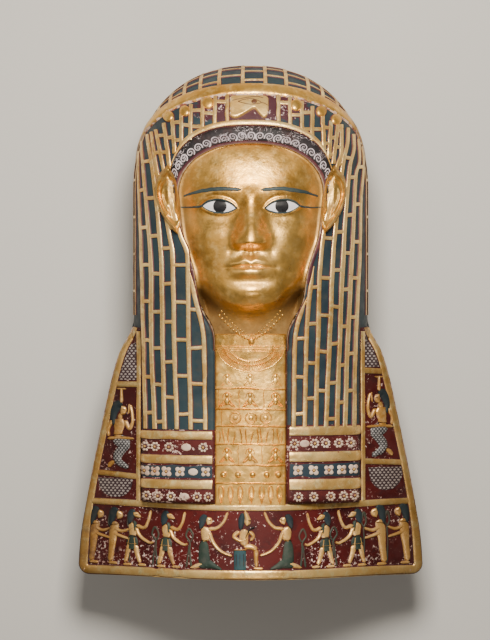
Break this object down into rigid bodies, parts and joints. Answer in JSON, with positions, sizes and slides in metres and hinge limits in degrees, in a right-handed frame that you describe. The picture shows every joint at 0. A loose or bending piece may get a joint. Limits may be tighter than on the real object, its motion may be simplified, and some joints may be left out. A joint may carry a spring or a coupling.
{
  "type": "egyptian mummy mask",
  "caption": "Hollow helmet-shaped mummy mask with striped wig, gilded face and ears, lappets and a broad chest plate in low relief.",
  "frame": {"origin": "middle of the bounding box at the floor, the mask lying on the back of its wig", "axes": "+Z is the way the face looks, +Y runs from the chest plate's hem to the crown, +X runs across to the viewer's right"},
  "size_m": [0.3462, 0.512, 0.2204],
  "materials": {
    "gilded_cartonnage": "painted and gilded gesso over linen, worn"
  },
  "bodies": {
    "root": {"mask": "gilded_cartonnage"}
  },
  "joints": []
}
